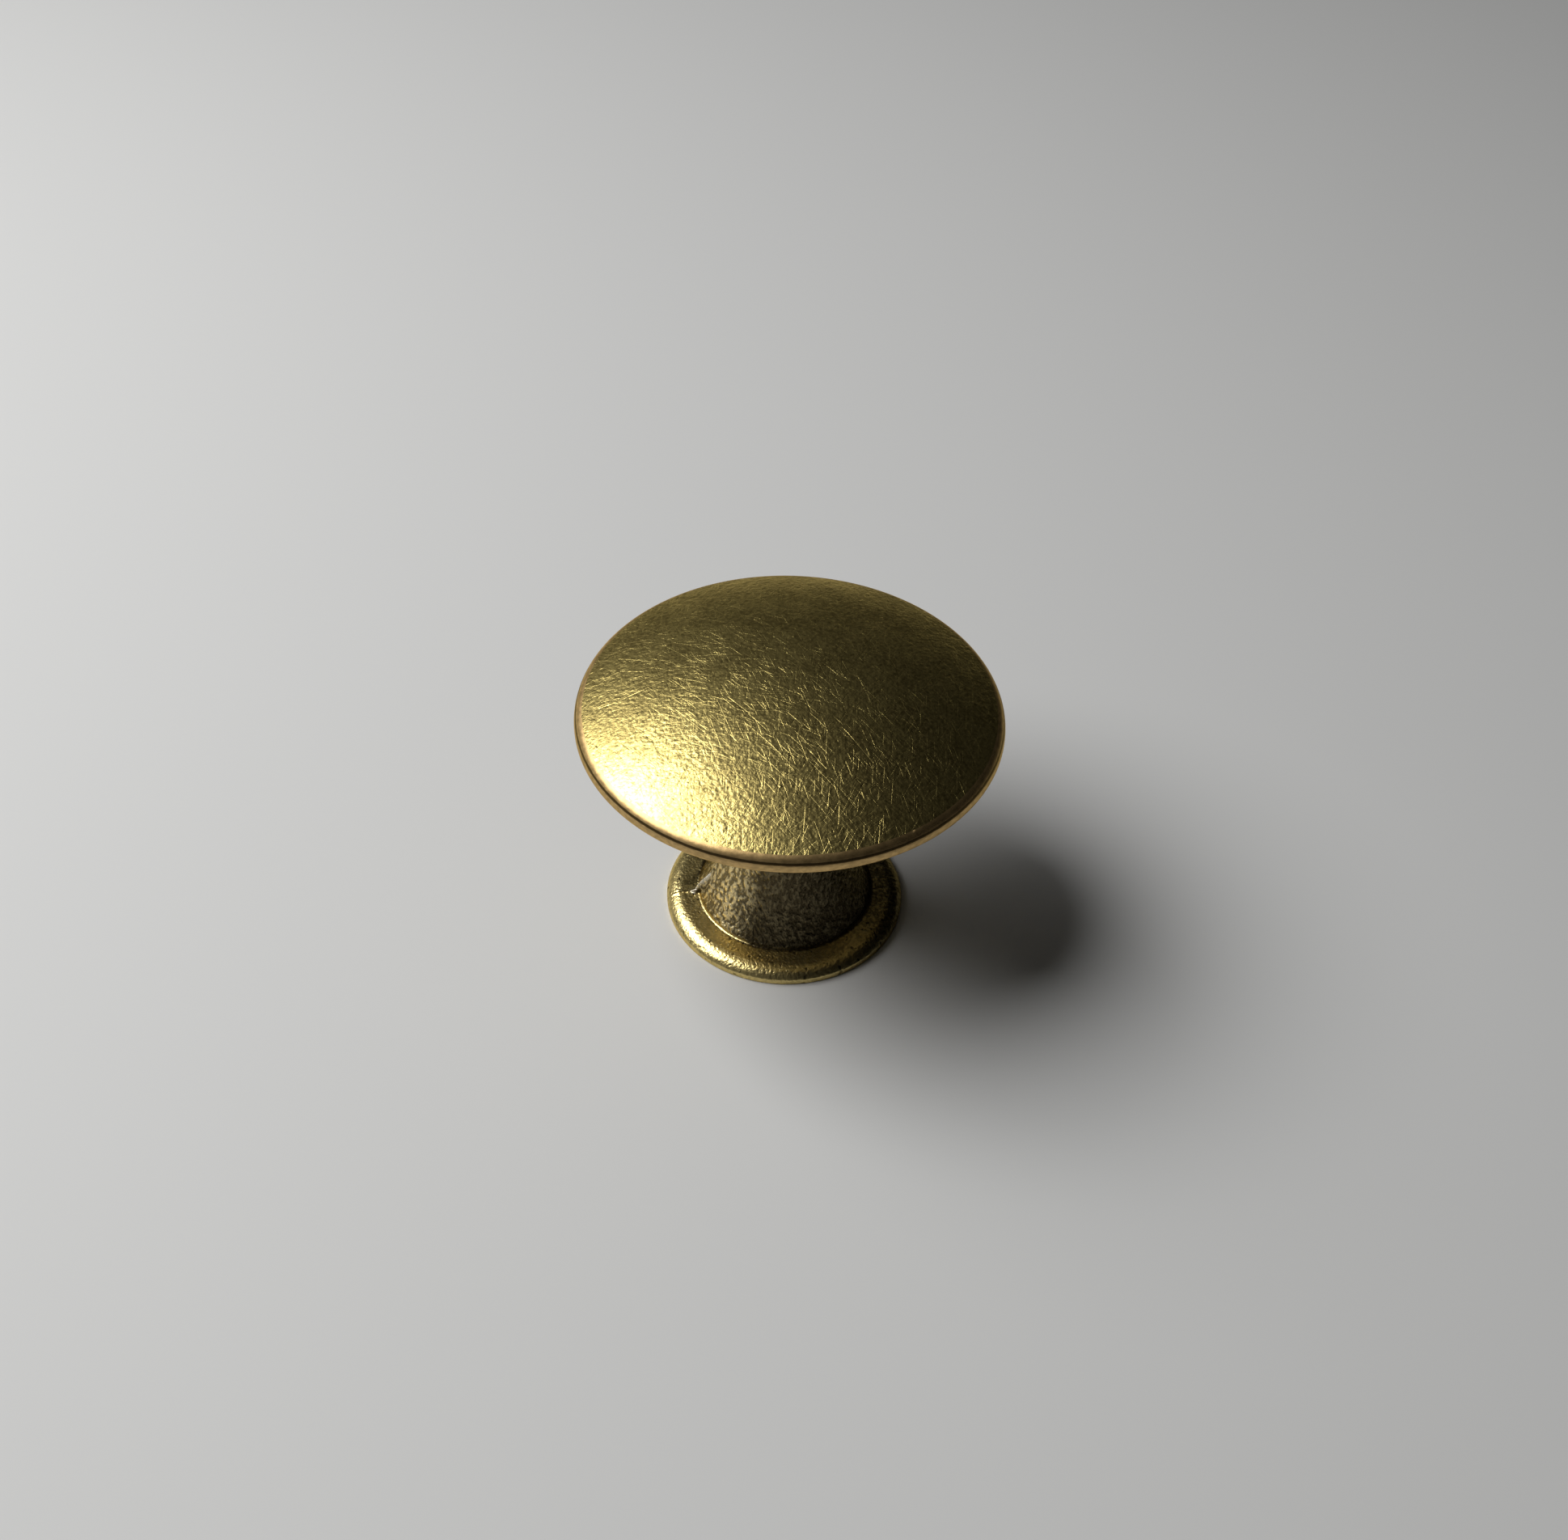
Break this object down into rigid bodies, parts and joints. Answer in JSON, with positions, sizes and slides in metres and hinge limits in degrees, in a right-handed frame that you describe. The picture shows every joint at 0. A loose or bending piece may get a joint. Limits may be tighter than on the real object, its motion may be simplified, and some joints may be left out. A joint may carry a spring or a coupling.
{
  "type": "cabinet knob",
  "caption": "Round cabinet knob cast in one piece: a low domed head on a waisted stem that flares into a thin round foot with a tapped blind hole.",
  "frame": {"origin": "middle of the foot's flat bottom face, which seats on the door or drawer front", "axes": "+Z along the stem, from the foot to the top of the dome; the casting's parting line is seven to eight degrees round from +X and -X"},
  "size_m": [0.032, 0.032, 0.0238],
  "materials": {
    "antique_brass": "darkened antique brass, satin with fine rubbed scratches on the dome and a grainier cast surface on the stem and foot"
  },
  "bodies": {
    "root": {"knob": "antique_brass"}
  },
  "joints": []
}
